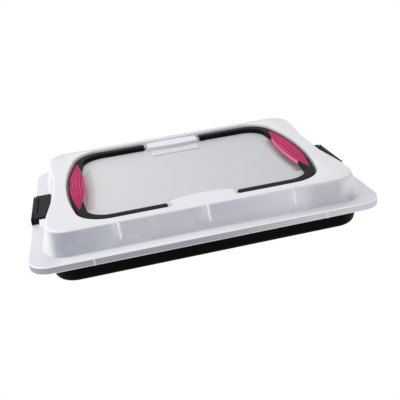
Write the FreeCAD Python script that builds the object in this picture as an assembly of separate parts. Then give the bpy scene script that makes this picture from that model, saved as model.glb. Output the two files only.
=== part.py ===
import FreeCAD, Part
import math
import os
from FreeCAD import Vector

os.makedirs("parts", exist_ok=True)

# Covered baking tray. Millimetres, X along the tray, Z up, origin under the middle of the tray's floor.

# ---- baking pan ----
pan_floor_length = 395.0      # between the walls at the floor, before the floor edge is rounded
pan_floor_width = 309.4
pan_floor_corner = 29.0
pan_height = 33.0
pan_draft = 12.0              # degrees from upright
pan_sheet = 0.8
pan_floor_round = 8.0
flange_reach_end = 18.1       # pan flange beyond the mouth, at the two short ends
flange_reach_side = 3.6
flange_corner = 25.0
rim_roll_radius = 1.8
rim_roll_turn = 225.0         # degrees
rim_roll_folds = 5            # flats that the roll is made of

# ---- lid ----
rim_clearance = 0.8           # between the rolled rim and the lid's skirt
skirt_wall = 1.6
skirt_drop = 7.8              # below the underside of the lid's flange
flange_thickness = 2.0
flange_edge_chamfer = 1.2
lid_wall = 2.0
lid_ledge_end = 16.5          # flange left outside the foot of the lid's walls
lid_ledge_side = 12.4
lid_rise = 33.0               # from the flange to the rim of the lid
lid_foot_corner = 35.0
lid_top_corner = 28.0
lid_end_lean = 10.5           # how far the end walls lean in over their height
lid_side_lean = 7.5
lid_shoulder_round = 5.0
lid_inner_chamfer = 1.25       # inside the shoulder, so the wall keeps its thickness there
waist_depth = 7.0             # end walls drawn in behind the clips
waist_flat = 72.0
waist_reach_short = 119.4     # both ends together, against the pan's floor width
waist_blend = 90.0
wall_rib_pitch = 111.0
wall_rib_width = 5.0
wall_rib_proud = 1.4
wall_rib_belly = 6.0          # below its top, where it stands proudest
wall_rib_share = 0.74         # of the wall's height
wall_rib_drop = 1.0           # its top lies this far below the rim
wall_rib_sunk = 1.0           # its edges lie this deep in the wall
wall_rib_nose = 0.56          # stands this proud at its top
skirt_tick_offset = 147.0
skirt_tick_width = 2.4
skirt_tick_proud = 0.7
skirt_tick_round = 0.3

# ---- handle well in the lid's top ----
well_rim_end = 25.0           # top rim left at the ends
well_rim_side = 11.5
well_depth = 10.0
well_bow_radius = 436.7
well_corner = 45.0
well_lean = 1.8
well_floor_chamfer = 1.6
well_lip_chamfer = 1.1
scoop_depth = 9.0
scoop_slope = 15.0            # run of the sloped side towards the middle
scoop_bow = 4.0               # that side bulges towards the middle
scoop_end_short = 10.0        # its ends stop this far short of the grip's tips
scoop_inset = 7.6             # from the well's end wall
scoop_width = 28.0
scoop_outer_lean = 3.0
scoop_end_slope = 12.0
scoop_end_draw = 7.0          # the outer side draws in at its two ends
scoop_straight_share = 0.6

# ---- handles ----
handle_gap_end = 3.2          # between handle and well, at the ends
handle_gap_side = 6.0
handle_bow_inner = 770.0
handle_bar_width = 12.0
handle_end_width = 17.2
handle_corner_inner = 31.0
handle_thickness = 7.0
handle_wall = 2.0
handle_lift = 0.3             # above the well's floor
handle_edge_chamfer = 0.9
handle_tip_x = 45.5           # where the bars end
hinge_radius = 2.3
hinge_lug_width = 7.4
hinge_pin_radius = 1.25
hinge_running = 0.08
channel_rib_pitch = 21.0
channel_rib_width = 1.6
channel_rib_start = 14.7      # from the hinge to the first rib
channel_rib_count = 4         # across each bar
channel_rib_places = (-2.5, -0.5, 0.5, 2.5)     # across the handle's end, in pitches
channel_headroom = 0.3        # over the hinge lug
handle_pin_short = 0.4        # a pin stops this far inside each face of its bar
handle_tip_round = 4.0

# ---- grips ----
grip_tip_margin = 40.3        # from the handle's long side to a tip
grip_tip_from_outer = 12.5    # tips lie this far in from the outer line of the grip
grip_outer_lip = 1.7          # frame left outside the grip
grip_width = 21.5
grip_crown = 1.5              # above the frame
grip_seat = 3.3               # depth of its seat in the frame
grip_under = 0.9              # below the frame
grip_under_round = ((0.0, 1.6), (1.4, 0.0))      # height above its underside, inset from its outline
grip_back_round = ((2.6, 0.0), (1.2, 0.7), (0.3, 2.0), (0.0, 4.0))      # depth below its crown, inset
grip_groove_count = 3
grip_groove_width = 1.3
grip_groove_depth = 0.7
grip_groove_reach = 0.72      # share of the grip's half length
grip_groove_gather = 0.25     # share of their spacing left at their ends

# ---- hinge blocks ----
block_tip_clearance = 3.3     # between a bar's end and the block
block_outer_gap = 0.4
block_end_slope = 1.5
block_depth = 22.8            # from its outer side to its inner corners
block_corner_run = 1.5
block_corner_depth = 1.35
block_bow = 5.0
block_crown = 0.9
block_wall = 2.0
block_foot_reach = 22.0
block_foot_inset = 4.0         # the foot is this much shorter at each end
block_foot_thickness = 1.5
block_screw_spacing = 50.0
tongue_thickness = 1.6
pocket_depth = 2.2
pocket_width = 14.4
tongue_root = 4.0             # the tongue starts this far inside the block
pocket_run = 6.0              # the pocket ends this far past the hinge
lug_post_inner = 1.2          # the post is cut back on the block's side of the pin
slope_start = 0.6             # above the hinge line, where the block's ends start to slope

# ---- clips ----
clip_width = 80.0
clip_pad_rise = 6.6
clip_pad_margin = 4.0
clip_pad_run = 11.0
clip_pad_root_round = 1.0     # at its corners inside the wall
clip_plate = 3.0
clip_plate_gap = 0.6          # from the lid's wall to the plate's inner edge
clip_knuckle_radius = 3.2
clip_knuckle_length = 52.0
clip_pin_radius = 1.5
clip_slack = 0.4
clip_flap_wall = 2.0
clip_flap_round = 2.4
clip_nose_reach = 4.1
clip_nose_height = 2.4
clip_nose_lead = 0.6          # slope on the nose's underside
clip_nose_round = 0.5
clip_lip_inner = 0.4          # rounds on the flap's lower edge
clip_lip_outer = 0.9
clip_pin_short = 0.5          # a pin stops this far inside each end of the clip
clip_rim_clearance = 0.8
clip_screw_spacing = 60.0
clip_trough_wall = 1.6
clip_trough_reach = 2.6       # beyond the pin, under the knuckle
clip_bridge_lap = 1.5         # the flap's top runs this far past the pin
clip_edge_round = 0.8
clip_end_gap = 1.0            # between the skirt and the ends of the flap
clip_nose_inset = 6.0         # the nose is this much shorter at each end
clip_screw_short = 0.8        # left above the tip of a clip screw

# ---- screws ----
screw_radius = 1.4
screw_head_radius = 3.0
screw_head_height = 1.8
screw_boss_wall = 2.2

# ---- heights and outlines that follow ----
pan_mouth_x = pan_floor_length / 2 + pan_height * math.tan(math.radians(pan_draft))
pan_mouth_y = pan_floor_width / 2 + pan_height * math.tan(math.radians(pan_draft))
pan_rim_x = pan_mouth_x + flange_reach_end
pan_rim_y = pan_mouth_y + flange_reach_side
flange_under = pan_height
flange_top = flange_under + flange_thickness
skirt_bottom = flange_under - skirt_drop
lid_edge_x = pan_rim_x + rim_clearance + skirt_wall
lid_edge_y = pan_rim_y + rim_clearance + skirt_wall
lid_edge_corner = flange_corner + rim_clearance + skirt_wall
lid_top = flange_top + lid_rise
waist_reach = pan_floor_width - waist_reach_short
well_floor = lid_top - well_depth
well_x = lid_edge_x - lid_ledge_end - lid_end_lean - well_rim_end
well_y = lid_edge_y - lid_ledge_side - lid_side_lean - well_rim_side
handle_x = well_x - handle_gap_end
handle_y = well_y - handle_gap_side
handle_bow_outer = well_bow_radius - handle_gap_end
handle_corner_outer = well_corner - handle_gap_side
handle_bottom = well_floor + handle_lift
handle_top = handle_bottom + handle_thickness
bar_y = handle_y - handle_bar_width / 2
hinge_x = handle_tip_x + hinge_radius
hinge_z = handle_bottom + hinge_radius
channel_top = hinge_z + hinge_radius + channel_headroom
grip_tip_y = handle_y - grip_tip_margin
grip_outer_x = handle_x - grip_outer_lip
grip_inner_x = grip_outer_x - grip_width
grip_tip_x = grip_outer_x - grip_tip_from_outer
block_half_length = handle_tip_x - block_tip_clearance
block_outer_y = well_y - well_lean - block_outer_gap
block_top = handle_top
block_corner_y = block_outer_y - block_depth
clip_wall_x = lid_edge_x - clip_flap_wall
clip_pin_x = clip_wall_x - clip_slack - clip_knuckle_radius
clip_crease_x = clip_pin_x - clip_knuckle_radius - clip_slack
clip_leg_x = clip_crease_x - clip_trough_wall
clip_pad_top = flange_top + clip_pad_rise
clip_top = clip_pad_top + clip_plate
clip_pin_z = clip_top - clip_knuckle_radius
clip_plate_inner = (lid_edge_x - lid_ledge_end - lid_end_lean * clip_pad_rise / lid_rise
                    - waist_depth + clip_plate_gap)
through = 1.0                 # how far a cutter runs past the face it cuts


# ---- wires and solids used everywhere ----
def rounded_polygon(corners, z, inset=0.0):
    """Wire at height z from (x, y, radius) corners, anticlockwise, moved inwards by inset."""
    count = len(corners)
    ways = []
    for i in range(count):
        a, b = corners[i], corners[(i + 1) % count]
        ways.append(Vector(b[0] - a[0], b[1] - a[1], 0).normalize())
    tangents = []
    for i in range(count):
        before, after = ways[i - 1], ways[i]
        turn = before.cross(after).z
        angle = math.acos(max(-1.0, min(1.0, before.dot(after))))
        toward = (after - before).normalize() if turn > 0 else (before - after).normalize()
        corner = Vector(corners[i][0], corners[i][1], z) + toward * (inset / math.cos(angle / 2))
        radius = corners[i][2] - inset if turn > 0 else corners[i][2] + inset
        reach = radius * math.tan(angle / 2)
        bulge = radius / math.cos(angle / 2) - radius
        side = (after - before).normalize()
        tangents.append((corner - before * reach, corner + side * bulge, corner + after * reach))
    edges = []
    for i in range(count):
        start, middle, end = tangents[i]
        if start.distanceToPoint(end) > through / 100:
            edges.append(Part.Arc(start, middle, end).toShape())
        edges.append(Part.LineSegment(end, tangents[(i + 1) % count][0]).toShape())
    return Part.Wire(edges)


def rounded_box(half_x, half_y, radius, z, inset=0.0):
    corners = [(half_x, -half_y), (half_x, half_y), (-half_x, half_y), (-half_x, -half_y)]
    return rounded_polygon([(x, y, radius) for x, y in corners], z, inset)


def bowed_outline(end_x, bow_radius, half_y, corner_radius, z, inset=0.0):
    """Rounded outline with straight sides and bowed ends."""
    end_x, half_y = end_x - inset, half_y - inset
    bow_radius, corner_radius = bow_radius - inset, corner_radius - inset
    bow_x = end_x - bow_radius
    corner_y = half_y - corner_radius
    corner_x = bow_x + math.sqrt((bow_radius - corner_radius) ** 2 - corner_y ** 2)
    lean = math.atan2(corner_y, corner_x - bow_x)
    middle = (lean + math.pi / 2) / 2

    def on_bow(angle):
        return Vector(bow_x + bow_radius * math.cos(angle), bow_radius * math.sin(angle), z)

    def on_corner(angle):
        return Vector(corner_x + corner_radius * math.cos(angle),
                      corner_y + corner_radius * math.sin(angle), z)

    def flip(point):
        return Vector(-point.x, -point.y, z)

    def under(point):
        return Vector(point.x, -point.y, z)

    side_end = Vector(corner_x, half_y, z)
    end = [Part.Arc(under(side_end), under(on_corner(middle)), on_bow(-lean)),
           Part.Arc(on_bow(-lean), on_bow(0), on_bow(lean)),
           Part.Arc(on_bow(lean), on_corner(middle), side_end)]
    far = [Part.Arc(flip(under(side_end)), flip(under(on_corner(middle))), flip(on_bow(-lean))),
           Part.Arc(flip(on_bow(-lean)), flip(on_bow(0)), flip(on_bow(lean))),
           Part.Arc(flip(on_bow(lean)), flip(on_corner(middle)), flip(side_end))]
    top = Part.LineSegment(side_end, flip(under(side_end)))
    bottom = Part.LineSegment(flip(side_end), under(side_end))
    return Part.Wire([e.toShape() for e in end + [top] + far + [bottom]])


def prism(wire, height):
    return Part.Face(wire).extrude(Vector(0, 0, height))


def loft(*wires):
    return Part.makeLoft(list(wires), True, True)


def block(x0, x1, y0, y1, z0, z1):
    return Part.makeBox(x1 - x0, y1 - y0, z1 - z0, Vector(x0, y0, z0))


def rod(radius, length, centre, way):
    """Cylinder centred on a point, lying along way."""
    way = Vector(*way)
    return Part.makeCylinder(radius, length, Vector(*centre) - way * (length / 2), way)


def side_profile(corners, y0, y1):
    """Solid with a rounded outline in X and Z, running from y0 to y1."""
    wire = rounded_polygon(corners, 0)
    wire.rotate(Vector(0, 0, 0), Vector(1, 0, 0), 90)
    wire.translate(Vector(0, y1, 0))
    return Part.Face(wire).extrude(Vector(0, y0 - y1, 0))


def flat_edges(shape, z, keep=lambda centre: True):
    """Edges that lie level at height z."""
    found = []
    for edge in shape.Edges:
        box = edge.BoundBox
        if abs(box.ZMin - z) < 1e-4 and abs(box.ZMax - z) < 1e-4 and keep(box.Center):
            found.append(edge)
    return found


def to_left(shape):
    return shape.mirror(Vector(0, 0, 0), Vector(1, 0, 0))


def to_back(shape):
    return shape.mirror(Vector(0, 0, 0), Vector(0, 1, 0))


def save(name, shape):
    shape.exportStep("parts/%s.step" % name)


# ---- pan ----
def pan_outline(z, inset=0.0):
    spread = z * math.tan(math.radians(pan_draft))
    return rounded_box(pan_floor_length / 2 + spread, pan_floor_width / 2 + spread,
                       pan_floor_corner + spread, z, inset)


def baking_pan():
    body = loft(pan_outline(0), pan_outline(pan_height))
    body = body.makeFillet(pan_floor_round, flat_edges(body, 0))
    hollow = loft(pan_outline(pan_sheet, pan_sheet), pan_outline(pan_height, pan_sheet))
    hollow = hollow.makeFillet(pan_floor_round - pan_sheet, flat_edges(hollow, pan_sheet))
    plate = prism(rounded_box(pan_rim_x, pan_rim_y, flange_corner, pan_height - pan_sheet,
                              rim_roll_radius), pan_sheet)
    pan = body.fuse(plate)
    pan = pan.fuse(rolled_rim())
    mouth = prism(pan_outline(pan_height, pan_sheet), through)
    return pan.cut(hollow.fuse(mouth)).removeSplitter()


def rolled_rim():
    """Sheet edge rolled out, down and back under itself, closed up tight."""
    path = rounded_box(pan_rim_x, pan_rim_y, flange_corner, pan_height - rim_roll_radius, rim_roll_radius)
    centre = Vector(0, -pan_rim_y + rim_roll_radius, pan_height - rim_roll_radius)

    def on_roll(degrees):
        angle = math.radians(degrees)
        return centre + Vector(0, -rim_roll_radius * math.sin(angle), rim_roll_radius * math.cos(angle))

    folds = [on_roll(rim_roll_turn * i / rim_roll_folds) for i in range(rim_roll_folds + 1)]
    section = Part.makePolygon(folds + [folds[0] - Vector(0, 0, pan_sheet), folds[0]])
    return path.makePipeShell([section], True, False)


# ---- lid ----
def lid_outline(z, inset=0.0):
    """Outline of the lid's wall at height z; the ends are drawn in behind the clips."""
    rise = (z - flange_top) / lid_rise
    half_x = lid_edge_x - lid_ledge_end - lid_end_lean * rise
    half_y = lid_edge_y - lid_ledge_side - lid_side_lean * rise
    corner = lid_foot_corner + (lid_top_corner - lid_foot_corner) * rise
    waist_x = half_x - waist_depth
    end = [(half_x, -half_y, corner), (half_x, -waist_reach / 2, waist_blend),
           (waist_x, -waist_flat / 2, waist_blend), (waist_x, waist_flat / 2, waist_blend),
           (half_x, waist_reach / 2, waist_blend), (half_x, half_y, corner)]
    return rounded_polygon(end + [(-x, -y, r) for x, y, r in end], z, inset)


def well_outline(z, inset=0.0):
    lean = well_lean * (lid_top - z) / well_depth
    return bowed_outline(well_x, well_bow_radius, well_y, well_corner, z, inset + lean)


def scoop_outline(z, spread=0.0):
    """Finger recess under the right-hand grip at height z, widened by spread on every side."""
    drop = (well_floor - z) / scoop_depth
    outer = well_x - scoop_inset - scoop_outer_lean * drop + spread
    inner = well_x - scoop_inset - scoop_width + scoop_slope * drop - spread
    half = grip_tip_y - scoop_end_short - scoop_end_slope * drop + spread
    shoulder = half * scoop_straight_share
    corners = [(inner, half), (outer - scoop_end_draw, half), (outer, shoulder), (outer, -shoulder),
               (outer - scoop_end_draw, -half), (inner, -half)]
    points = [Vector(x, y, z) for x, y in corners]
    sides = [Part.LineSegment(a, b).toShape() for a, b in zip(points, points[1:])]
    bow = Part.Arc(points[-1], Vector(inner - scoop_bow, 0, z), points[0]).toShape()
    return Part.Wire(sides + [bow])


def scoop(wall=0.0):
    floor = well_floor - scoop_depth - wall
    right = loft(scoop_outline(floor, wall), scoop_outline(well_floor + through, wall))
    return right.fuse(to_left(right))


def hinge_pockets(wall=0.0):
    """Shallow pockets in the well's floor under the four bar ends."""
    x0, x1 = block_half_length - tongue_root - block_outer_gap, hinge_x + pocket_run
    one = block(x0 - wall, x1 + wall, -bar_y - pocket_width / 2 - wall, -bar_y + pocket_width / 2 + wall,
                well_floor - pocket_depth - wall, well_floor + through)
    front = one.fuse(to_left(one))
    return front.fuse(to_back(front))


def clip_pad(wall=0.0):
    """Raised pad at the right-hand end that carries the clip."""
    inner = lid_edge_x - lid_ledge_end - waist_depth - lid_end_lean

    def ring(z, spread):
        half = clip_width / 2 + clip_pad_margin + spread
        corners = [(inner, -half, clip_pad_root_round), (clip_leg_x, -half, clip_pad_margin),
                   (clip_leg_x, half, clip_pad_margin), (inner, half, clip_pad_root_round)]
        return rounded_polygon(corners, z, wall)

    right = loft(ring(flange_top - through - 2 * wall, clip_pad_run * (1 + through / clip_pad_rise)),
                 ring(clip_pad_top - wall, 0.0))
    return right.fuse(to_left(right))


def wall_rib(x):
    """Fold in the front wall that starts full at the shoulder and dies out lower down."""
    z_top = lid_top - wall_rib_drop
    z_low = lid_top - lid_rise * wall_rib_share

    def wall_y(z):
        return lid_edge_y - lid_ledge_side - lid_side_lean * (z - flange_top) / lid_rise

    left = Vector(x - wall_rib_width / 2, -wall_y(z_top) + wall_rib_sunk, z_top)
    right = Vector(x + wall_rib_width / 2, -wall_y(z_top) + wall_rib_sunk, z_top)
    nose = Vector(x, -wall_y(z_top) - wall_rib_nose, z_top)
    z_belly = z_top - wall_rib_belly
    belly = Vector(x, -wall_y(z_belly) - wall_rib_proud, z_belly)
    tip = Vector(x, -wall_y(z_low) + wall_rib_sunk, z_low)
    faces = [(left, right, nose), (left, nose, belly), (right, belly, nose), (left, belly, tip),
             (right, tip, belly), (left, tip, right)]
    shell = Part.Shell([Part.Face(Part.makePolygon([a, b, c, a])) for a, b, c in faces])
    solid = Part.Solid(shell)
    return solid if solid.Volume > 0 else solid.reversed()


def skirt_tick(x):
    half = skirt_tick_width / 2
    tick = rounded_polygon([(x - half, -lid_edge_y - skirt_tick_proud, skirt_tick_round),
                            (x + half, -lid_edge_y - skirt_tick_proud, skirt_tick_round),
                            (x + half, -lid_edge_y + skirt_wall / 2, skirt_tick_round),
                            (x - half, -lid_edge_y + skirt_wall / 2, skirt_tick_round)], skirt_bottom)
    return prism(tick, skirt_drop)


def lid_flange():
    """Flange and skirt, with a gap in the skirt at each clip."""
    outer = rounded_box(lid_edge_x, lid_edge_y, lid_edge_corner, skirt_bottom)
    slab = prism(outer, flange_top - skirt_bottom)
    slab = slab.makeChamfer(flange_edge_chamfer, flat_edges(slab, flange_top))
    under = prism(rounded_box(lid_edge_x, lid_edge_y, lid_edge_corner, skirt_bottom - through, skirt_wall),
                  flange_under - skirt_bottom + through)
    half = clip_width / 2 + clip_end_gap
    gap = block(clip_wall_x - clip_slack, lid_edge_x + through, -half, half,
                skirt_bottom - through, flange_top + through)
    return slab.cut(under).cut(gap).cut(to_left(gap))


def lid_shell():
    hill = loft(lid_outline(flange_top - flange_thickness / 2), lid_outline(lid_top))
    hill = hill.makeFillet(lid_shoulder_round, flat_edges(hill, lid_top))
    hill = hill.fuse(clip_pad())
    for x in (-wall_rib_pitch, 0.0, wall_rib_pitch):
        rib = wall_rib(x)
        hill = hill.fuse([rib, to_back(rib)])
    for x in (-skirt_tick_offset, skirt_tick_offset):
        tick = skirt_tick(x)
        hill = hill.fuse([tick, to_back(tick)])
    well = loft(well_outline(well_floor), well_outline(lid_top))
    well = well.makeChamfer(well_floor_chamfer, flat_edges(well, well_floor))
    mouth = prism(well_outline(lid_top), through)
    top_form = well.fuse([mouth, scoop(), hinge_pockets()])

    ceiling = lid_top - lid_wall
    hollow = loft(lid_outline(flange_under, lid_wall), lid_outline(ceiling - lid_inner_chamfer, lid_wall),
                  lid_outline(ceiling, lid_wall + lid_inner_chamfer))
    hollow = hollow.fuse(clip_pad(lid_wall))
    under_well = loft(well_outline(well_floor - lid_wall, -lid_wall), well_outline(lid_top, -lid_wall))
    hollow = hollow.cut(under_well.fuse([scoop(lid_wall), hinge_pockets(lid_wall)]))
    mouth_below = prism(lid_outline(flange_under - through, lid_wall), through)

    lid = lid_flange().fuse(hill).cut(hollow).cut(mouth_below).cut(top_form)
    lid = lid.cut(screw_holes()).removeSplitter()
    lip = flat_edges(lid, lid_top,
                     lambda c: abs(c.x) < well_x + through / 2 and abs(c.y) < well_y + through / 2)
    return lid.makeChamfer(well_lip_chamfer, lip)


# ---- handles ----
def handle_outer(z, inset=0.0):
    return bowed_outline(handle_x, handle_bow_outer, handle_y, handle_corner_outer, z, inset)


def handle_inner(z, inset=0.0):
    return bowed_outline(handle_x - handle_end_width, handle_bow_inner, handle_y - handle_bar_width,
                         handle_corner_inner, z, inset)


def ring_solid(inset, z0, z1):
    """Ring between the handle's outer and inner lines, thinned by inset on both sides."""
    return prism(handle_outer(z0, inset), z1 - z0).cut(prism(handle_inner(z0, -inset), z1 - z0))


def handle_frame():
    """Right-hand frame: a channel open below, with cross ribs, forked at its two ends."""
    ring = ring_solid(0.0, handle_bottom, handle_top)
    ring = ring.makeChamfer(handle_edge_chamfer, flat_edges(ring, handle_top))
    envelope = side_profile([(handle_x + through, handle_bottom, 0.0),
                             (handle_x + through, handle_top, 0.0),
                             (handle_tip_x, handle_top, handle_tip_round),
                             (handle_tip_x, handle_bottom, hinge_radius)], -handle_y, handle_y)
    frame = ring.common(envelope)
    channel = ring_solid(handle_wall, handle_bottom - through, channel_top)
    channel = channel.cut(channel_ribs())
    frame = frame.cut(channel)
    seat = prism(grip_outline(handle_top - grip_seat), grip_seat + through)
    frame = frame.cut(seat)
    hole = rod(hinge_pin_radius + hinge_running, 2 * (handle_y + through), (hinge_x, 0, hinge_z), (0, 1, 0))
    return frame.cut(hole)


def channel_ribs():
    half = channel_rib_width / 2
    ribs = []
    for i in range(channel_rib_count):
        x = hinge_x + channel_rib_start + i * channel_rib_pitch
        ribs.append(block(x - half, x + half, -handle_y, handle_y, handle_bottom - through, handle_top))
    for place in channel_rib_places:
        y = place * channel_rib_pitch
        ribs.append(block(hinge_x, handle_x, y - half, y + half, handle_bottom - through, handle_top))
    return ribs[0].fuse(ribs[1:])


# ---- grips ----
def grip_outline(z, inset=0.0):
    """Lens between two arcs that meet at the tips."""
    inner_bow = grip_width - grip_tip_from_outer
    spread = math.atan(grip_tip_from_outer / grip_tip_y) + math.atan(inner_bow / grip_tip_y)
    tip_y = grip_tip_y - inset / math.sin(spread)
    lower, upper = Vector(grip_tip_x, -tip_y, z), Vector(grip_tip_x, tip_y, z)
    outer = Part.Arc(lower, Vector(grip_outer_x - inset, 0, z), upper).toShape()
    inner = Part.Arc(upper, Vector(grip_inner_x + inset, 0, z), lower).toShape()
    return Part.Wire([outer, inner])


def grip():
    """Soft right-hand grip moulded on to the frame."""
    low, high = handle_bottom - grip_under, handle_top + grip_crown
    steps = [(low + rise, inset) for rise, inset in grip_under_round]
    steps += [(high - depth, inset) for depth, inset in grip_back_round]
    body = None
    for (z0, in0), (z1, in1) in zip(steps, steps[1:]):
        layer = loft(grip_outline(z0, in0), grip_outline(z1, in1))
        body = layer if body is None else body.fuse(layer)
    filled = ring_solid(0.0, handle_bottom - grip_under - through, handle_top - grip_seat)
    return body.removeSplitter().cut(filled).cut(grip_grooves())


def grip_grooves():
    """Shallow grooves along the grip's back that gather towards its tips."""
    top = handle_top + grip_crown
    reach = grip_tip_y * grip_groove_reach
    grooves = []
    for i in range(grip_groove_count):
        x = grip_inner_x + grip_width * (i + 1) / (grip_groove_count + 1)
        end_x = grip_tip_x + (x - grip_tip_x) * grip_groove_gather
        z = top - grip_groove_depth
        near, far = Vector(end_x, -reach, z), Vector(end_x, reach, z)
        sides = [Part.Arc(near, Vector(x + grip_groove_width / 2, 0, z), far).toShape(),
                 Part.Arc(far, Vector(x - grip_groove_width / 2, 0, z), near).toShape()]
        grooves.append(prism(Part.Wire(sides), grip_groove_depth + through))
    return grooves[0].fuse(grooves[1:])


def handle_pins():
    """Two pins of the right-hand handle, held in the lugs of the hinge blocks."""
    length = handle_bar_width - 2 * handle_pin_short
    front = rod(hinge_pin_radius, length, (hinge_x, -bar_y, hinge_z), (0, 1, 0))
    return Part.Compound([front, to_back(front)])


# ---- hinge blocks ----
def block_plan(z, inset=0.0, top=False):
    """Outline of the front block: straight outer side, inner side bowed towards the middle."""
    half = block_half_length - (block_end_slope if top else 0.0) - inset
    corner_x = half - block_corner_run
    outer_y = -block_outer_y + inset
    corner_y = -block_corner_y - inset
    knee_y = corner_y - block_corner_depth
    points = [Vector(-half, outer_y, z), Vector(half, outer_y, z), Vector(half, knee_y, z),
              Vector(corner_x, corner_y, z)]
    bow = Part.Arc(Vector(corner_x, corner_y, z), Vector(0, corner_y + block_bow, z),
                   Vector(-corner_x, corner_y, z)).toShape()
    edges = [Part.LineSegment(a, b).toShape() for a, b in zip(points, points[1:])]
    edges += [bow, Part.LineSegment(Vector(-corner_x, corner_y, z), Vector(-half, knee_y, z)).toShape(),
              Part.LineSegment(Vector(-half, knee_y, z), points[0]).toShape()]
    return Part.Wire(edges)


def crowned_cut(drop):
    """Everything above the block's crowned top, lowered by drop."""
    chord = block_half_length
    radius = (chord ** 2 + block_crown ** 2) / (2 * block_crown)
    barrel = rod(radius, 2 * well_y, (0, -bar_y, block_top - drop - radius), (0, 1, 0))
    tall = block(-chord - through, chord + through, -well_y, 0, well_floor, lid_top)
    return tall.cut(barrel)


def hinge_block():
    """Front hinge block: crowned hollow housing, foot strip, and a lug at each end."""
    slope_z = hinge_z + slope_start
    lower = prism(block_plan(well_floor), slope_z - well_floor)
    upper = loft(block_plan(slope_z), block_plan(block_top, 0.0, True))
    housing = lower.fuse(upper).cut(crowned_cut(0.0)).removeSplitter()
    inner = prism(block_plan(well_floor - through, block_wall), slope_z - well_floor + through)
    inner = inner.fuse(loft(block_plan(slope_z, block_wall), block_plan(block_top, block_wall, True)))
    inner = inner.cut(crowned_cut(block_wall))
    for x in (-block_screw_spacing / 2, block_screw_spacing / 2):
        boss = rod(screw_radius + screw_boss_wall, 2 * well_depth, (x, -bar_y, block_top), (0, 0, 1))
        inner = inner.cut(boss)
    housing = housing.cut(inner)
    relief = block(-block_half_length, block_half_length, -block_outer_y,
                   -block_outer_y + well_floor_chamfer, well_floor, well_floor + well_floor_chamfer)
    housing = housing.cut(relief)
    foot_half = block_half_length - block_foot_inset
    foot_back = -block_corner_y - block_wall
    foot_front = -block_corner_y + block_bow + block_foot_reach
    foot = rounded_polygon([(-foot_half, foot_back, 0.0), (foot_half, foot_back, 0.0),
                            (foot_half, foot_front, block_wall), (-foot_half, foot_front, block_wall)],
                           well_floor)
    housing = housing.fuse(prism(foot, block_foot_thickness))
    lug = hinge_lug()
    housing = housing.fuse([lug, to_left(lug)]).removeSplitter()
    holes = [rod(screw_radius, 2 * screw_reach(), (x, -bar_y, well_floor), (0, 0, 1))
             for x in (-block_screw_spacing / 2, block_screw_spacing / 2)]
    return housing.cut(holes[0].fuse(holes[1]))


def hinge_lug():
    """Tongue in the pocket that ends in the round lug of one bar."""
    z0 = well_floor - pocket_depth
    y0, y1 = -bar_y - hinge_lug_width / 2, -bar_y + hinge_lug_width / 2
    root = block_half_length - tongue_root
    tongue = block(root, hinge_x + hinge_radius, y0, y1, z0, z0 + tongue_thickness)
    web = block(root, block_half_length, y0, y1, z0, hinge_z)
    post = block(hinge_x - lug_post_inner, hinge_x + hinge_radius, y0, y1, z0, hinge_z)
    eye = rod(hinge_radius, hinge_lug_width, (hinge_x, -bar_y, hinge_z), (0, 1, 0))
    lug = tongue.fuse([web, post, eye])
    return lug.cut(rod(hinge_pin_radius, 2 * hinge_lug_width, (hinge_x, -bar_y, hinge_z), (0, 1, 0)))


def screw_reach():
    return block_top - well_floor - block_crown - block_wall


# ---- clips ----
def clip_base():
    """Right-hand plate on the lid's pad that turns down into a trough for the knuckle, with end cheeks."""
    half = clip_width / 2
    trough_x, trough_z = clip_pin_x + clip_trough_reach, flange_top + clip_trough_wall
    bent = [(clip_plate_inner, clip_pad_top, 0.0), (clip_leg_x, clip_pad_top, 0.0),
            (clip_leg_x, flange_top, 0.0), (trough_x, flange_top, 0.0), (trough_x, trough_z, 0.0),
            (clip_crease_x, trough_z, 0.0), (clip_crease_x, clip_top, clip_edge_round),
            (clip_plate_inner, clip_top, clip_edge_round)]
    plate = side_profile(bent, -half, half)
    ear_inner = clip_knuckle_length / 2 + clip_slack
    ear = side_profile([(clip_leg_x, flange_top, 0.0), (trough_x, flange_top, 0.0),
                        (trough_x, clip_pin_z, 0.0), (clip_pin_x, clip_pin_z, 0.0),
                        (clip_pin_x, clip_top, 0.0), (clip_leg_x, clip_top, 0.0)], ear_inner, half)
    round_end = rod(clip_knuckle_radius, half - ear_inner, (clip_pin_x, (half + ear_inner) / 2, clip_pin_z),
                    (0, 1, 0))
    ear = ear.fuse(round_end)
    base = plate.fuse([ear, to_back(ear)])
    base = base.cut(rod(clip_pin_radius, 2 * clip_width, (clip_pin_x, 0, clip_pin_z), (0, 1, 0)))
    holes = [rod(screw_radius, 2 * clip_screw_reach(), (clip_screw_x(), y, clip_pad_top), (0, 0, 1))
             for y in (-clip_screw_spacing / 2, clip_screw_spacing / 2)]
    return base.cut(holes[0].fuse(holes[1])).removeSplitter()


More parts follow.
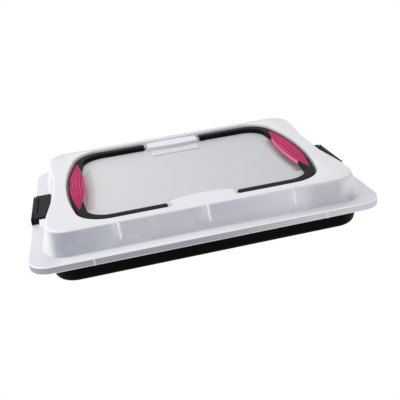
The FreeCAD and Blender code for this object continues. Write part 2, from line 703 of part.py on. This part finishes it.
def clip_flap():
    """Flap that drops over the lid's edge and hooks under the pan's rim."""
    half = clip_width / 2
    nose_half = half - clip_nose_inset
    nose_top = pan_height - 2 * rim_roll_radius - clip_rim_clearance
    nose_bottom = nose_top - clip_nose_height
    nose_tip = clip_wall_x - clip_nose_reach
    inside = (clip_wall_x + lid_edge_x) / 2
    knuckle_half = clip_knuckle_length / 2
    wall = side_profile([(clip_wall_x, nose_bottom, clip_lip_inner),
                         (lid_edge_x, nose_bottom, clip_lip_outer),
                         (lid_edge_x, clip_top, clip_flap_round), (clip_wall_x, clip_top, 0.0)], -half, half)
    nose = side_profile([(nose_tip, nose_bottom + clip_nose_lead, clip_nose_round),
                         (inside, nose_bottom, 0.0), (inside, nose_top, 0.0),
                         (nose_tip, nose_top, clip_nose_round)], -nose_half, nose_half)
    bridge = block(clip_pin_x - clip_bridge_lap, inside, -knuckle_half, knuckle_half,
                   clip_top - clip_flap_wall, clip_top)
    knuckle = rod(clip_knuckle_radius, clip_knuckle_length, (clip_pin_x, 0, clip_pin_z), (0, 1, 0))
    flap = wall.fuse([nose, bridge, knuckle])
    bore = rod(clip_pin_radius + hinge_running, 2 * clip_width, (clip_pin_x, 0, clip_pin_z), (0, 1, 0))
    return flap.cut(bore).removeSplitter()


def clip_screw_x():
    return (clip_plate_inner + clip_crease_x) / 2


def clip_screw_reach():
    return clip_plate - clip_screw_short


def clip_pin():
    return rod(clip_pin_radius, clip_width - 2 * clip_pin_short, (clip_pin_x, 0, clip_pin_z), (0, 1, 0))


# ---- screws ----
def screw(x, y, seat_z, wall, reach):
    """Screw from below: its head bears on the underside of a wall and its shank goes up into a part."""
    head_top = seat_z - wall
    head = Part.makeCylinder(screw_head_radius, screw_head_height,
                             Vector(x, y, head_top - screw_head_height), Vector(0, 0, 1))
    shank = Part.makeCylinder(screw_radius, wall + reach, Vector(x, y, head_top), Vector(0, 0, 1))
    return head.fuse(shank)


def block_screws():
    half = block_screw_spacing / 2
    return [screw(x, -bar_y, well_floor, lid_wall, screw_reach()) for x in (-half, half)]


def clip_screws():
    half = clip_screw_spacing / 2
    return [screw(clip_screw_x(), y, clip_pad_top, lid_wall, clip_screw_reach()) for y in (-half, half)]


def screw_holes():
    holes = [rod(screw_radius, 3 * lid_wall, (x, -bar_y, well_floor - lid_wall / 2), (0, 0, 1))
             for x in (-block_screw_spacing / 2, block_screw_spacing / 2)]
    ends = [rod(screw_radius, 3 * lid_wall, (clip_screw_x(), y, clip_pad_top - lid_wall / 2), (0, 0, 1))
            for y in (-clip_screw_spacing / 2, clip_screw_spacing / 2)]
    holes += [to_back(hole) for hole in holes]
    ends += [to_left(hole) for hole in ends]
    return holes[0].fuse(holes[1:] + ends)


# ---- all pieces ----
def main():
    save("baking_pan", baking_pan())
    save("lid_shell", lid_shell())
    front_block = hinge_block()
    front_screws = Part.Compound(block_screws())
    save("hinge_block_front", front_block)
    save("hinge_block_back", to_back(front_block))
    save("block_screws_front", front_screws)
    save("block_screws_back", to_back(front_screws))
    right = {"handle_frame": handle_frame(), "grip": grip(), "handle_pins": handle_pins(),
             "clip_base": clip_base(), "clip_flap": clip_flap(), "clip_pin": clip_pin(),
             "clip_screws": Part.Compound(clip_screws())}
    for name, shape in right.items():
        save(name + "_right", shape)
        save(name + "_left", to_left(shape))


main()
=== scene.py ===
import math
import bmesh
import bpy
from mathutils import Matrix, Vector


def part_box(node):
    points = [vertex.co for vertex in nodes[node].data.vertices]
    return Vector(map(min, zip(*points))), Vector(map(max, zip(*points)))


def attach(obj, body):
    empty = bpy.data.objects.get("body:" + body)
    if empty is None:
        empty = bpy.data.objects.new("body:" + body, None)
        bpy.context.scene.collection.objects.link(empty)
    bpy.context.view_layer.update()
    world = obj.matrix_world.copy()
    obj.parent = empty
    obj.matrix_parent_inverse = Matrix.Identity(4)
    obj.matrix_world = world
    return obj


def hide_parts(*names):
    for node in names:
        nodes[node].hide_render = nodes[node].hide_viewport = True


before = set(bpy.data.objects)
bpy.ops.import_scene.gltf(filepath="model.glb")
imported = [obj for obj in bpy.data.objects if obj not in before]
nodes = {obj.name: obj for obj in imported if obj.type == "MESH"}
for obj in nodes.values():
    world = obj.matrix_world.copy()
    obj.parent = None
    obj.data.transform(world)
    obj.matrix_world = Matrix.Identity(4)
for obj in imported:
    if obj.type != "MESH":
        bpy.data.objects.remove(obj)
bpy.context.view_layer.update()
print("stage: frame loaded")


class Flow:
    # one shader socket, so that sums on it can be written as sums
    def __init__(self, shading, socket):
        self.shading = shading
        self.socket = socket

    def combine(self, operation, first, second):
        return self.shading.add("ShaderNodeMath", {"operation": operation}, {0: first, 1: second})

    def __add__(self, other):
        return self.combine("ADD", self, other)

    def __radd__(self, other):
        return self.combine("ADD", other, self)

    def __sub__(self, other):
        return self.combine("SUBTRACT", self, other)

    def __rsub__(self, other):
        return self.combine("SUBTRACT", other, self)

    def __mul__(self, other):
        return self.combine("MULTIPLY", self, other)

    def __rmul__(self, other):
        return self.combine("MULTIPLY", other, self)

    def __abs__(self):
        return self.combine("ABSOLUTE", self, 0.0)


class Shading:
    # the nodes of one tree
    def __init__(self, tree):
        self.tree = tree

    def add(self, kind, settings=None, inputs=None, outputs=(0,)):
        node = self.tree.nodes.new(kind)
        for key, value in (settings or {}).items():
            setattr(node, key, value)
        for key, value in (inputs or {}).items():
            self.feed(node.inputs[key], value)
        found = [Flow(self, node.outputs[key]) for key in outputs]
        return found[0] if len(found) == 1 else found

    def feed(self, socket, value):
        if isinstance(value, Flow):
            self.tree.links.new(value.socket, socket)
        else:
            socket.default_value = value


class Finish(Shading):
    # a Principled material and the nodes that feed it
    def __init__(self, name, **fixed):
        self.material = bpy.data.materials.new(name)
        self.material.use_nodes = True
        super().__init__(self.material.node_tree)
        self.surface = self.tree.nodes["Principled BSDF"]
        for socketName, value in fixed.items():
            self.set(socketName.replace("_", " "), value)

    def set(self, socketName, value):
        self.feed(self.surface.inputs[socketName], value)

    def place(self):
        return self.add("ShaderNodeTexCoord", outputs=("Object",))

    def axes(self):
        return self.add("ShaderNodeSeparateXYZ", inputs={0: self.place()}, outputs=(0, 1, 2))

    def step(self, value, span):
        # 0 below the span, 1 above it, smooth between
        return self.add("ShaderNodeMapRange", {"interpolation_type": "SMOOTHSTEP"},
                        {"Value": value, "From Min": span[0], "From Max": span[1]})

    def drop(self, value, span):
        return 1.0 - self.step(value, span)

    def lines(self, x, places, span):
        # 1 on thin upright lines at these places along x, 0 away from them
        total = self.drop(abs(x - places[0]), span)
        for place in places[1:]:
            total = total + self.drop(abs(x - place), span)
        return total

    def noise(self, scale, detail=3.0, roughness=0.5):
        return self.add("ShaderNodeTexNoise", None,
                        {"Vector": self.place(), "Scale": scale, "Detail": detail, "Roughness": roughness})

    def mix(self, share, first, second):
        return self.add("ShaderNodeMix", {"data_type": "RGBA"}, {0: share, 6: first, 7: second}, (2,))

    def bump(self, height, strength, distance=0.0002):
        self.set("Normal", self.add("ShaderNodeBump", None,
                                    {"Height": height, "Strength": strength, "Distance": distance}))


def rgb(red, green, blue):
    # a colour as it reads on screen, turned into the linear values that shaders take
    return tuple((c / 12.92 if c <= 0.04045 else ((c + 0.055) / 1.055) ** 2.4)
                 for c in (red / 255, green / 255, blue / 255)) + (1.0,)


# lid plastic: the dark tray shows through its walls and light and shade are painted in, so each zone has a
# tone of its own
lid = {
    "rim": rgb(229, 228, 234),
    "rimRight": rgb(222, 222, 227),
    "rimBack": rgb(216, 217, 223),
    # painted shade along the rim's back edge, where the shoulder turns away
    "backEdge": rgb(196, 198, 205),
    # the wall: darker where the tray shows through and where shade is painted in, darkest at the left
    # corner
    "wallCorner": rgb(171, 175, 188),
    "wallLeft": rgb(202, 203, 214),
    "wallRight": rgb(226, 226, 236),
    "wallLast": rgb(202, 203, 211),
    # painted highlight on the right-hand corner and painted light on the end walls
    "wallTurnHighlight": rgb(244, 244, 248),
    "wallEndPaintedLight": rgb(240, 240, 243),
    # the wall's foot darker: the tray shows through there and shade is painted in
    "foot": rgb(186, 188, 200),
    "flange": rgb(246, 247, 250),
    "flangeFar": rgb(212, 214, 219),
    "flangeEnd": rgb(222, 222, 227),
    # the upright skirt darker, partly painted shade
    "skirt": rgb(165, 166, 176),
    "skirtFar": rgb(224, 226, 231),
    # near-white for the painted highlights on lip, edges, ribs and ticks, and for the pale cloud
    "line": rgb(252, 252, 253),
    "panel": rgb(210, 211, 214),
    "panelFar": rgb(194, 196, 200),
    # painted light: the scoop lighter than the panel, against the shade in it
    "scoop": rgb(226, 229, 231),
    "speckle": rgb(150, 154, 164),
    "speckleShare": 0.06,
    "ior": 1.48,
    "roughness": 0.36,
    "roughnessSpread": 0.12,
    "mottle": (34.0, 4.0, 0.6),    # scale, detail and roughness of its noise
    "grain": (900.0, 2.0),
    "grainBump": 0.06,
    "cloud": (70.0, 5.0, 0.65),
    "cloudFrom": (0.42, 0.66),
    "cloudShare": 0.14,
    "footShare": 0.25,        # how far the foot's tone covers the wall
    "footShareTurn": 0.6,     # and how much more at the right-hand corner
    "backShare": 0.7,
    "lipShare": 0.6,
    "ribs": (-0.111, 0.0, 0.111),
    # the ribs: a painted highlight line along each and a painted glow beside it
    "ribLine": (0.0008, 0.0020),
    "ribGlow": (0.0, 0.010),
    "ribGlowSide": 0.004,    # the painted glow lies to the left of each rib
    "ribGlowShare": 0.35,
    # painted light lines at the skirt's ticks
    "ticks": (-0.147, 0.147),
    "tickLine": (0.0008, 0.0018),
    "tickShare": 0.55,
}

# where one tone of the lid gives way to the next, from and to, in metres
alongX = {
    "corner": (-0.195, -0.10),
    "right": (0.0, 0.12),
    "last": (0.118, 0.142),
    "turn": (0.166, 0.184),
    "end": (0.187, 0.199),
    "far": (-0.05, 0.21),
    "flangeEnd": (-0.200, -0.180),
    "rimRight": (0.12, 0.18),
    "panelFar": (-0.15, 0.15),
    "soften": (-0.02, 0.15),
    "wellEnd": (0.171, 0.174),
}
alongY = {
    "flangeBack": (0.02, 0.12),
    "rimBack": (0.10, 0.14),
    "backEdge": (0.1440, 0.1465),
    "wellSide": (0.1355, 0.1375),
}
upZ = {
    "skirtFoot": (0.0255, 0.0263),
    "skirtTop": (0.0330, 0.0337),
    "flangeEdge": (0.0332, 0.0338),
    "flangeRound": (0.0347, 0.0350),
    "wallStart": (0.0352, 0.0372),
    "foot": (0.038, 0.053),
    "ribGlow": (0.043, 0.056),
    "rib": (0.0435, 0.0475),
    "scoop": (0.0568, 0.0578),
    "panel": (0.0583, 0.0591),
    "rimGentle": (0.0590, 0.0672),
    "rimSharp": (0.0644, 0.0668),
    "lip": (0.0648, 0.0664),
    "lipEnd": (0.0672, 0.0678),
}


def wallTone(finish, x, z):
    # along the wall: the tray showing through and painted shade
    wall = finish.mix(finish.step(x, alongX["corner"]), lid["wallCorner"], lid["wallLeft"])
    wall = finish.mix(finish.step(x, alongX["right"]), wall, lid["wallRight"])
    wall = finish.mix(finish.step(x, alongX["last"]), wall, lid["wallLast"])
    # a painted highlight on the right-hand corner
    turn = finish.step(x, alongX["turn"])
    wall = finish.mix(turn, wall, lid["wallTurnHighlight"])
    # darker towards the foot: the tray shows through and shade is painted in, more at the right-hand
    # corner
    footShare = lid["footShare"] + lid["footShareTurn"] * turn
    wall = finish.mix(finish.drop(z, upZ["foot"]) * footShare, wall, lid["foot"])
    # painted light on both end walls
    wall = finish.mix(finish.step(abs(x), alongX["end"]), wall, lid["wallEndPaintedLight"])
    cloud = finish.step(finish.noise(*lid["cloud"]), lid["cloudFrom"])
    wall = finish.mix(cloud * lid["cloudShare"], wall, lid["line"])

    # a painted glow beside each rib and a painted highlight line along it
    glow = finish.lines(x + lid["ribGlowSide"], lid["ribs"], lid["ribGlow"])
    glow = glow * finish.step(z, upZ["ribGlow"])
    wall = finish.mix(glow * lid["ribGlowShare"], wall, lid["line"])
    line = finish.lines(x, lid["ribs"], lid["ribLine"]) * finish.step(z, upZ["rib"])
    return finish.mix(line, wall, lid["line"])


def flangeTone(finish, x, y, z):
    # flange and skirt: painted highlight lines where their edges and the skirt's ticks catch the light,
    # and the upright skirt darker, partly painted shade
    far = finish.step(x, alongX["far"])
    flange = finish.mix(far, lid["flange"], lid["flangeFar"])
    flange = finish.mix(finish.step(y, alongY["flangeBack"]) * lid["backShare"], flange, lid["flangeFar"])
    flange = finish.mix(finish.step(x, alongX["flangeEnd"]), lid["flangeEnd"], flange)
    skirt = finish.mix(far, lid["skirt"], lid["skirtFar"])
    ticks = finish.lines(x, lid["ticks"], lid["tickLine"])
    skirt = finish.mix(ticks * lid["tickShare"], skirt, lid["line"])
    skirt = finish.mix(finish.drop(z, upZ["skirtFoot"]), skirt, lid["line"])
    flange = finish.mix(finish.step(z, upZ["skirtTop"]), skirt, flange)
    edge = finish.step(z, upZ["flangeEdge"]) * finish.drop(z, upZ["flangeRound"])
    return finish.mix(edge, flange, lid["line"])


def whiteGrain(finish, colour, speckleShare, roughness):
    # what all the white plastic shares: a faint mottle and a fine grain
    mottle = finish.noise(*lid["mottle"])
    finish.set("Base Color", finish.mix(mottle * speckleShare, colour, lid["speckle"]))
    finish.set("Roughness", roughness + lid["roughnessSpread"] * mottle)
    finish.bump(finish.noise(*lid["grain"]), lid["grainBump"])


def lidPlastic():
    finish = Finish("lidPlastic", IOR=lid["ior"])
    x, y, z = finish.axes()
    rim = finish.mix(finish.step(x, alongX["rimRight"]), lid["rim"], lid["rimRight"])
    rim = finish.mix(finish.step(y, alongY["rimBack"]), rim, lid["rimBack"])
    # painted shade along the back edge
    rim = finish.mix(finish.step(y, alongY["backEdge"]), rim, lid["backEdge"])
    panel = finish.mix(finish.step(x, alongX["panelFar"]), lid["panel"], lid["panelFar"])
    # the scoop painted lighter, against the shade in it
    panel = finish.mix(finish.step(z, upZ["scoop"]), lid["scoop"], panel)
    well = finish.mix(finish.drop(z, upZ["panel"]), lid["rim"], panel)
    inWell = finish.drop(abs(x), alongX["wellEnd"]) * finish.drop(abs(y), alongY["wellSide"])

    # the rim's tone runs into the wall's painted shade sharply on the left and gently on the right
    sharp = finish.step(z, upZ["rimSharp"])
    gentle = finish.step(z, upZ["rimGentle"])
    toRim = sharp + (gentle - sharp) * finish.step(x, alongX["soften"])
    colour = finish.mix(toRim, wallTone(finish, x, z), rim)
    # a painted highlight along the lip
    lip = finish.step(z, upZ["lip"]) * finish.drop(z, upZ["lipEnd"])
    colour = finish.mix(lip * lid["lipShare"], colour, lid["line"])
    colour = finish.mix(finish.step(z, upZ["wallStart"]), flangeTone(finish, x, y, z), colour)
    colour = finish.mix(inWell, colour, well)
    whiteGrain(finish, colour, lid["speckleShare"], lid["roughness"])
    return finish.material


# the same plastic, thicker and whiter, on the hinge blocks
housing = {
    # painted shade on the inner upright face
    "face": rgb(214, 215, 220),
    "footFront": rgb(203, 205, 208),
    "footBack": rgb(218, 219, 223),
    "speckleShare": 0.08,
    "roughness": 0.3,
    "innerSide": (0.1120, 0.1126),    # distance from the middle, across the tray
    "faceTop": (0.0634, 0.0641),
    "footTop": (0.0596, 0.0600),
    "frontToBack": (-0.05, 0.05),
}


def housingPlastic():
    finish = Finish("housingPlastic", IOR=lid["ior"])
    x, y, z = finish.axes()
    inner = finish.drop(abs(y), housing["innerSide"])
    # the inner face below its top is grey: painted shade
    colour = finish.mix(inner * finish.drop(z, housing["faceTop"]), lid["rim"], housing["face"])
    foot = finish.mix(finish.step(y, housing["frontToBack"]), housing["footFront"], housing["footBack"])
    colour = finish.mix(inner * finish.drop(z, housing["footTop"]), colour, foot)
    whiteGrain(finish, colour, housing["speckleShare"], housing["roughness"])
    return finish.material


# black plastic: plain tone, worn tone and gloss of each part
blackPlastic = {
    "handle": (rgb(13, 13, 15), rgb(25, 25, 28), 0.08),
    "clip": (rgb(12, 12, 14), rgb(24, 24, 26), 0.13),
    "scuff": (60.0, 5.0, 0.65),
    "scuffFrom": (0.5, 0.8),
    "roughness": 0.48,
    "roughnessSpread": 0.15,
    "grain": (1400.0, 2.0),
    "grainBump": 0.15,
}


def darkPlastic(part):
    plain, worn, gloss = blackPlastic[part]
    finish = Finish(part + "Plastic", Specular_IOR_Level=gloss)
    scuff = finish.noise(*blackPlastic["scuff"])
    finish.set("Base Color", finish.mix(finish.step(scuff, blackPlastic["scuffFrom"]), plain, worn))
    finish.set("Roughness", blackPlastic["roughness"] + blackPlastic["roughnessSpread"] * scuff)
    finish.bump(finish.noise(*blackPlastic["grain"]), blackPlastic["grainBump"])
    return finish.material


# coated steel of the tray
coating = {
    "colour": rgb(5, 5, 6),
    "speck": rgb(13, 13, 14),
    "specks": (2600.0, 2.0),
    "speckFrom": (0.55, 0.75),
    "speckBump": 0.12,
    "patches": 90.0,
    "gloss": 0.03,
    "roughness": 0.42,
    "roughnessSpread": 0.1,
}


def panCoating():
    finish = Finish("panCoating", Specular_IOR_Level=coating["gloss"])
    specks = finish.noise(*coating["specks"])
    patches = finish.noise(coating["patches"])
    colour = finish.mix(finish.step(specks, coating["speckFrom"]), coating["colour"], coating["speck"])
    finish.set("Base Color", colour)
    finish.set("Roughness", coating["roughness"] + coating["roughnessSpread"] * patches)
    finish.bump(specks, coating["speckBump"])
    return finish.material


# grip rubber, paler on its flanks than on its back and underside
gripBottom, gripTop = (corner[2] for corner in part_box("grip_right"))
rubber = {
    "light": rgb(212, 54, 112),
    "deep": rgb(180, 34, 88),
    # painted shade in the grooves
    "groove": rgb(100, 10, 44),
    "flank": rgb(240, 140, 180),
    "flankStart": (gripBottom + 0.0006, gripBottom + 0.0024),
    "flankEnd": (gripTop - 0.0052, gripTop - 0.0022),
    "blush": 45.0,
    "gloss": 0.16,
    "roughness": 0.5,
    "roughnessSpread": 0.1,
    "grain": (1800.0, 2.0),
    "grainBump": 0.1,
}


def gripRubber(name, light, deep):
    finish = Finish(name, Specular_IOR_Level=rubber["gloss"])
    blush = finish.noise(rubber["blush"])
    z = finish.axes()[2]
    flank = finish.step(z, rubber["flankStart"]) * finish.drop(z, rubber["flankEnd"])
    finish.set("Base Color", finish.mix(flank, finish.mix(blush, deep, light), rubber["flank"]))
    finish.set("Roughness", rubber["roughness"] + rubber["roughnessSpread"] * blush)
    finish.bump(finish.noise(*rubber["grain"]), rubber["grainBump"])
    return finish.material


# steel of the pins and screws
metal = {
    "plain": (rgb(176, 177, 180), rgb(206, 207, 210)),
    "blackened": (rgb(30, 30, 32), rgb(52, 52, 55)),
    "brushing": 700.0,
    "roughness": 0.28,
    "roughnessSpread": 0.12,
}


def steel(kind):
    dark, light = metal[kind]
    finish = Finish(kind + "Steel", Metallic=1.0)
    brushed = finish.noise(metal["brushing"])
    finish.set("Base Color", finish.mix(brushed, dark, light))
    finish.set("Roughness", metal["roughness"] + metal["roughnessSpread"] * brushed)
    return finish.material


def dress(nodeNames, material):
    for nodeName in nodeNames:
        slots = nodes[nodeName].data.materials
        slots.clear()
        slots.append(material)


def bothEnds(*stems):
    return [stem + side for stem in stems for side in ("_left", "_right")]


gripMaterial = gripRubber("gripRubber", rubber["light"], rubber["deep"])
# a shaded copy of the rubber for the grooves: painted shade
grooveShadeMaterial = gripRubber("grooveShadeRubber", rubber["deep"], rubber["groove"])
dress(["lid_shell"], lidPlastic())
dress(["baking_pan"], panCoating())
dress(["hinge_block_front", "hinge_block_back"], housingPlastic())
dress(bothEnds("handle_frame"), darkPlastic("handle"))
dress(bothEnds("clip_base", "clip_flap"), darkPlastic("clip"))
dress(bothEnds("grip"), gripMaterial)
dress(["block_screws_front", "block_screws_back"] + bothEnds("clip_screws"), steel("plain"))
dress(bothEnds("handle_pins", "clip_pin"), steel("blackened"))
print("stage: finishes on")


# grips with wavy ridges
grip = {
    "columns": 24,
    "rows": 56,
    "tipShare": 0.419,        # where the tips lie across the width
    "grooves": (5, 10, 15, 20),
    "grooveDepth": 0.0014,
    "grooveReach": 0.6,       # of a column, for the faces beside each groove that take the painted shade
    "facingUp": 0.2,          # least upward lean of those faces
    "dome": 0.0016,
    "wave": 0.0011,
    "waves": 2.5,
    "stillColumns": 2.5,      # beside each flank, kept out of the wave
    "tipWidth": 0.02,         # of the full width
    "tipHeight": 0.1,         # of the full height
    "tipRise": 1.6,           # how fast the height grows away from the tips
    "sharpAngle": 50,         # degrees
}


def selectWhere(mesh, test):
    # in edit mode: only the vertices for which test is true stay selected
    bpy.ops.mesh.select_all(action="DESELECT")
    shape = bmesh.from_edit_mesh(mesh)
    for vertex in shape.verts:
        vertex.select_set(test(vertex.co))
    shape.select_flush_mode()
    bmesh.update_edit_mesh(mesh)


def makeGrip():
    low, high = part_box("grip_right")
    width, length = high[0] - low[0], high[1] - low[1]
    tipX = low[0] + width * grip["tipShare"]
    middleX = (low[0] + high[0]) / 2
    edgeZ = high[2] - grip["dome"]
    bpy.ops.object.select_all(action="DESELECT")
    bpy.ops.mesh.primitive_grid_add(x_subdivisions=grip["columns"], y_subdivisions=grip["rows"], size=1.0,
                                    location=(middleX, 0, low[2]))
    piece = bpy.context.object
    piece.name = "gripSleeveRight"
    piece.scale = (width, length, 1.0)
    bpy.ops.object.transform_apply(location=True, rotation=False, scale=True)
    mesh = piece.data
    bpy.ops.object.mode_set(mode="EDIT")
    bpy.ops.mesh.select_mode(type="VERT")
    bpy.ops.mesh.select_all(action="SELECT")
    bpy.ops.mesh.extrude_region_move(TRANSFORM_OT_translate={"value": (0, 0, edgeZ - low[2])})
    onTop = (low[2] + edgeZ) / 2
    step = width / grip["columns"]

    # the back rises in a dome, with a groove along every few columns
    for column in range(1, grip["columns"]):
        columnX = low[0] + step * column
        across = (columnX - middleX) / (width / 2)
        lift = grip["dome"] * (1.0 - across ** 2)
        if column in grip["grooves"]:
            lift -= grip["grooveDepth"]
        selectWhere(mesh, lambda co: co.z > onTop and abs(co.x - columnX) < step / 4)
        bpy.ops.transform.translate(value=(0, 0, lift))

    # the grooves' faces take a copy of the rubber with painted shade
    mesh.materials.append(gripMaterial)
    mesh.materials.append(grooveShadeMaterial)
    near = [low[0] + step * column for column in grip["grooves"]]
    selectWhere(mesh, lambda co: False)
    bpy.ops.mesh.select_mode(type="FACE")
    shape = bmesh.from_edit_mesh(mesh)
    for face in shape.faces:
        centre = face.calc_center_median()
        face.select_set(face.normal.z > grip["facingUp"] and centre.z > onTop
                        and any(abs(centre.x - place) < step * grip["grooveReach"] for place in near))
    bmesh.update_edit_mesh(mesh)
    piece.active_material_index = 1
    bpy.ops.object.material_slot_assign()
    bpy.ops.mesh.select_mode(type="VERT")

    # each row is waved to one side, then drawn in and lowered towards the tips
    rowStep = length / grip["rows"]
    inside = step * (grip["columns"] / 2 - grip["stillColumns"])
    for row in range(grip["rows"] + 1):
        rowY = low[1] + rowStep * row
        share = 1.0 - (2 * rowY / length) ** 2
        sway = grip["wave"] * math.sin(2 * math.pi * grip["waves"] * row / grip["rows"])
        selectWhere(mesh, lambda co: co.z > onTop and abs(co.y - rowY) < rowStep / 4
                    and abs(co.x - middleX) < inside)
        bpy.ops.transform.translate(value=(sway, 0, 0))
        selectWhere(mesh, lambda co: abs(co.y - rowY) < rowStep / 4)
        bpy.ops.transform.resize(value=(max(share, grip["tipWidth"]), 1, 1),
                                 center_override=(tipX, rowY, edgeZ))
        selectWhere(mesh, lambda co: co.z > onTop and abs(co.y - rowY) < rowStep / 4)
        bpy.ops.transform.resize(value=(1, 1, min(1.0, grip["tipHeight"] + grip["tipRise"] * share)),
                                 center_override=(tipX, rowY, edgeZ))
    bpy.ops.mesh.select_all(action="SELECT")
    bpy.ops.mesh.normals_make_consistent(inside=False)
    bpy.ops.object.mode_set(mode="OBJECT")
    smooth = piece.modifiers.new("smooth", "SUBSURF")
    smooth.levels = 1
    smooth.render_levels = 1
    bpy.ops.object.modifier_apply(modifier=smooth.name)
    bpy.ops.object.shade_smooth_by_angle(angle=math.radians(grip["sharpAngle"]))
    return piece


def turnedCopy(piece, name):
    # the same piece at the other end, half a turn about the upright axis
    bpy.ops.object.select_all(action="DESELECT")
    other = piece.copy()
    other.data = piece.data.copy()
    other.name = name
    bpy.context.scene.collection.objects.link(other)
    other.select_set(True)
    bpy.context.view_layer.objects.active = other
    bpy.ops.transform.rotate(value=math.pi, orient_axis="Z", center_override=(0, 0, 0))
    bpy.ops.object.transform_apply(location=True, rotation=True, scale=True)
    return other


gripRight = makeGrip()
gripLeft = turnedCopy(gripRight, "gripSleeveLeft")
for piece, side in ((gripRight, "right"), (gripLeft, "left")):
    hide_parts("grip_" + side)
    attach(piece, "handle_" + side)
print("stage: grips modelled")


# floor, backdrop and light
stage = {
    "floorSize": 6.0,
    "floorDrop": 0.0004,      # just below the tray
    "floorDark": rgb(244, 244, 246),
    "floorLight": rgb(250, 250, 251),
    "floorMottle": 3.0,
    "floorRoughness": 0.9,
    "white": (1.0, 1.0, 1.0, 1.0),
    "ambient": 0.62,
    "aim": (0.0, 0.0, 0.05),
    "overhead": {"place": (0.15, 0.35, 1.5), "width": 1.3, "watts": 8.0},
    "leftSide": {"place": (-1.5, -0.1, 0.7), "width": 0.8, "watts": 8.0},
}


def whiteWhereSeen(tree, surface, whiteKind, output):
    # plain white in what the camera sees straight on, in a gloss or through a clear piece
    shading = Shading(tree)
    straight, gloss, clear = shading.add("ShaderNodeLightPath", outputs=(
        "Is Camera Ray", "Is Glossy Ray", "Is Transmission Ray"))
    seen = straight.combine("MAXIMUM", straight.combine("MAXIMUM", straight, gloss), clear)
    white = shading.add(whiteKind, None, {"Color": stage["white"], "Strength": 1.0})
    own = Flow(shading, surface.outputs[0])
    both = shading.add("ShaderNodeMixShader", None, {0: seen, 1: own, 2: white})
    shading.feed(output.inputs["Surface"], both)


def floorPaint():
    finish = Finish("floorPaint", Roughness=stage["floorRoughness"])
    mottle = finish.noise(stage["floorMottle"])
    finish.set("Base Color", finish.mix(mottle, stage["floorDark"], stage["floorLight"]))
    whiteWhereSeen(finish.tree, finish.surface, "ShaderNodeEmission", finish.tree.nodes["Material Output"])
    return finish.material


bpy.ops.object.select_all(action="DESELECT")
bpy.ops.mesh.primitive_plane_add(size=stage["floorSize"], location=(0, 0, -stage["floorDrop"]))
floor = bpy.context.object
floor.name = "floor"
floor.data.materials.append(floorPaint())

world = bpy.data.worlds.new("studio")
bpy.context.scene.world = world
world.use_nodes = True
background = world.node_tree.nodes["Background"]
background.inputs["Color"].default_value = stage["white"]
background.inputs["Strength"].default_value = stage["ambient"]
whiteWhereSeen(world.node_tree, background, "ShaderNodeBackground", world.node_tree.nodes["World Output"])

for lampName in ("overhead", "leftSide"):
    setting = stage[lampName]
    data = bpy.data.lights.new(lampName, "AREA")
    data.size = setting["width"]
    data.energy = setting["watts"]
    lamp = bpy.data.objects.new(lampName, data)
    bpy.context.scene.collection.objects.link(lamp)
    lamp.location = setting["place"]
    towards = Vector(stage["aim"]) - Vector(setting["place"])
    lamp.rotation_euler = towards.to_track_quat("-Z", "Y").to_euler()

view = {
    "place": (-0.1125, -0.7879, 0.3642),
    "heading": 9.19,          # degrees to the right, down and rolled
    "tilt": 24.13,
    "roll": -7.127,
    "lens": 52.5,             # millimetres
    "sensor": 36.0,
}
cameraData = bpy.data.cameras.new("camera")
cameraData.lens = view["lens"]
cameraData.sensor_width = view["sensor"]
camera = bpy.data.objects.new("camera", cameraData)
bpy.context.scene.collection.objects.link(camera)
camera.matrix_world = (Matrix.Translation(view["place"])
                       @ Matrix.Rotation(math.radians(-view["heading"]), 4, "Z")
                       @ Matrix.Rotation(math.radians(90.0 - view["tilt"]), 4, "X")
                       @ Matrix.Rotation(math.radians(view["roll"]), 4, "Z"))
bpy.context.scene.camera = camera
bpy.context.scene.view_settings.view_transform = "Standard"
print("stage: studio and camera set")
